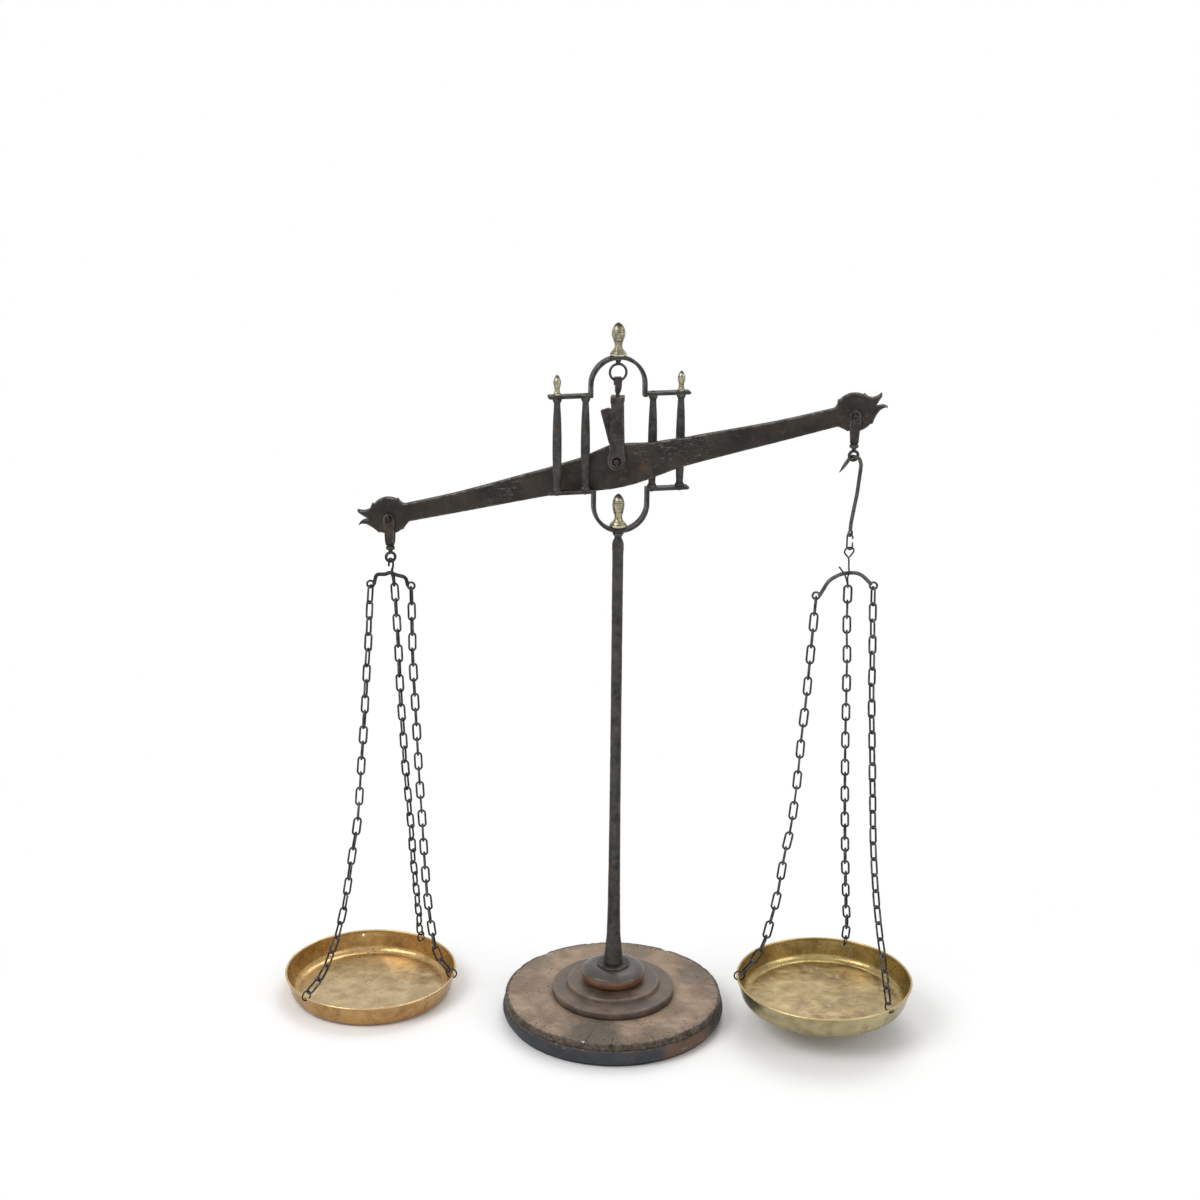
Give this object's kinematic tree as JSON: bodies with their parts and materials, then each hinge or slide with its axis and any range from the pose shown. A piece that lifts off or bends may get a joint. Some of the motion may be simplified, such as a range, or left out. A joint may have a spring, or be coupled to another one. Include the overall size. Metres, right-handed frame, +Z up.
{
  "type": "balance scale",
  "caption": "Antique equal-arm balance on a turned wooden foot and iron column, with a flat iron beam on knife edges and brass pans hung on link chains.",
  "frame": {"origin": "centre of the wooden foot's underside, on the table", "axes": "+Z up; the beam swings in the XZ plane with its raised end toward +X; -Y faces the viewer"},
  "size_m": [0.7341, 0.259, 0.8098],
  "materials": {
    "wood_disc": "worn, dry",
    "wood_bun": "old varnish",
    "iron_stand": "oiled dark",
    "iron_beam": "brown rust and scratches",
    "iron_chain": "dark grey",
    "brass_trim": "tarnished",
    "brass_pan_left": "tarnished, coppery",
    "brass_pan_right": "tarnished, greenish gold"
  },
  "bodies": {
    "stand": {"base_disc": "wood_disc", "base_step": "wood_disc", "base_bun": "wood_bun", "post_washer": "iron_stand", "post": "iron_stand", "base_nut": "iron_stand", "base_plug": "wood_disc", "lower_yoke": "iron_stand", "pillar_left_outer": "iron_stand", "pillar_left_inner": "iron_stand", "pillar_right_inner": "iron_stand", "pillar_right_outer": "iron_stand", "upper_arch": "iron_stand", "top_finial": "brass_trim", "eye_bolt": "iron_stand", "finial_left": "brass_trim", "finial_right": "brass_trim", "lower_finial": "brass_trim"},
    "swivel_hook": {"stirrup_hook": "iron_beam"},
    "fork": {"stirrup": "iron_beam"},
    "balance_beam": {"beam": "iron_beam", "tongue": "iron_beam", "center_knife": "iron_beam", "knife_left": "iron_beam", "knife_right": "iron_beam"},
    "left_shackle": {"shackle_left": "iron_beam"},
    "right_shackle": {"shackle_right": "iron_beam"},
    "left_hook": {"hook_left": "iron_chain"},
    "left_pan_set": {"bow_left": "iron_chain", "chain_left_front": "iron_chain", "chain_left_back": "iron_chain", "chain_left_inner": "iron_chain", "pan_left": "brass_pan_left", "ring_left_front": "iron_chain", "ring_left_back": "iron_chain", "ring_left_inner": "iron_chain"},
    "right_hook": {"hook_right": "iron_chain"},
    "right_link": {"link_right": "iron_chain"},
    "right_wire_hook": {"wire_hook_right": "iron_chain"},
    "right_pan_set": {"bow_right": "iron_chain", "chain_right_outer": "iron_chain", "chain_right_back": "iron_chain", "chain_right_inner": "iron_chain", "pan_right": "brass_pan_right", "ring_right_outer": "iron_chain", "ring_right_back": "iron_chain", "ring_right_inner": "iron_chain"}
  },
  "joints": [
    {"name": "hook_rock", "type": "hinge", "parent": "stand", "child": "swivel_hook", "pos_m": [-0.00173, -0.00051, 0.7478], "axis": [0.9588, 0.284, 0], "range_deg": [-0.3, 0.3]},
    {"name": "stirrup_swivel", "type": "hinge", "parent": "swivel_hook", "child": "fork", "pos_m": [-0.002, 0, 0.726], "axis": [0, 0, -1], "range_deg": [0, 140]},
    {"name": "beam_tilt", "type": "hinge", "parent": "fork", "child": "balance_beam", "pos_m": [-0.002, 0, 0.661], "axis": [0, 1, 0], "range_deg": [0, 5.5]},
    {"name": "left_shackle_hang", "type": "hinge", "parent": "balance_beam", "child": "left_shackle", "pos_m": [-0.24904, 0, 0.58973], "axis": [0, 1, 0], "range_deg": [-6, 3]},
    {"name": "right_shackle_hang", "type": "hinge", "parent": "balance_beam", "child": "right_shackle", "pos_m": [0.24882, 0, 0.71755], "axis": [0, 1, 0], "range_deg": [-6, 3]},
    {"name": "left_hook_rock", "type": "hinge", "parent": "left_shackle", "child": "left_hook", "pos_m": [-0.24854, 0, 0.54038], "axis": [0.9397, 0.342, 0], "range_deg": [-1, 1]},
    {"name": "left_pan_turn", "type": "hinge", "parent": "left_hook", "child": "left_pan_set", "pos_m": [-0.24854, 0, 0.52692], "axis": [0, 0, 1], "range_deg": [-8, 8]},
    {"name": "right_hook_rock", "type": "hinge", "parent": "right_shackle", "child": "right_hook", "pos_m": [0.24902, 0, 0.6682], "axis": [0.9397, 0.342, 0], "range_deg": [-1.5, 1.5]},
    {"name": "right_link_turn", "type": "hinge", "parent": "right_hook", "child": "right_link", "pos_m": [0.24902, 0, 0.58635], "axis": [0, 0, 1], "range_deg": [-10, 10]},
    {"name": "right_wire_hook_rock", "type": "hinge", "parent": "right_link", "child": "right_wire_hook", "pos_m": [0.24882, 0, 0.571], "axis": [1, 0, 0], "range_deg": [-2, 2]},
    {"name": "right_pan_swing", "type": "hinge", "parent": "right_wire_hook", "child": "right_pan_set", "pos_m": [0.24922, 0, 0.5272], "axis": [0, -1, 0], "range_deg": [-1, 4]}
  ],
  "couplings": [
    {"joint": "left_shackle_hang", "follows": "beam_tilt", "ratio": -1},
    {"joint": "right_shackle_hang", "follows": "beam_tilt", "ratio": -1}
  ]
}
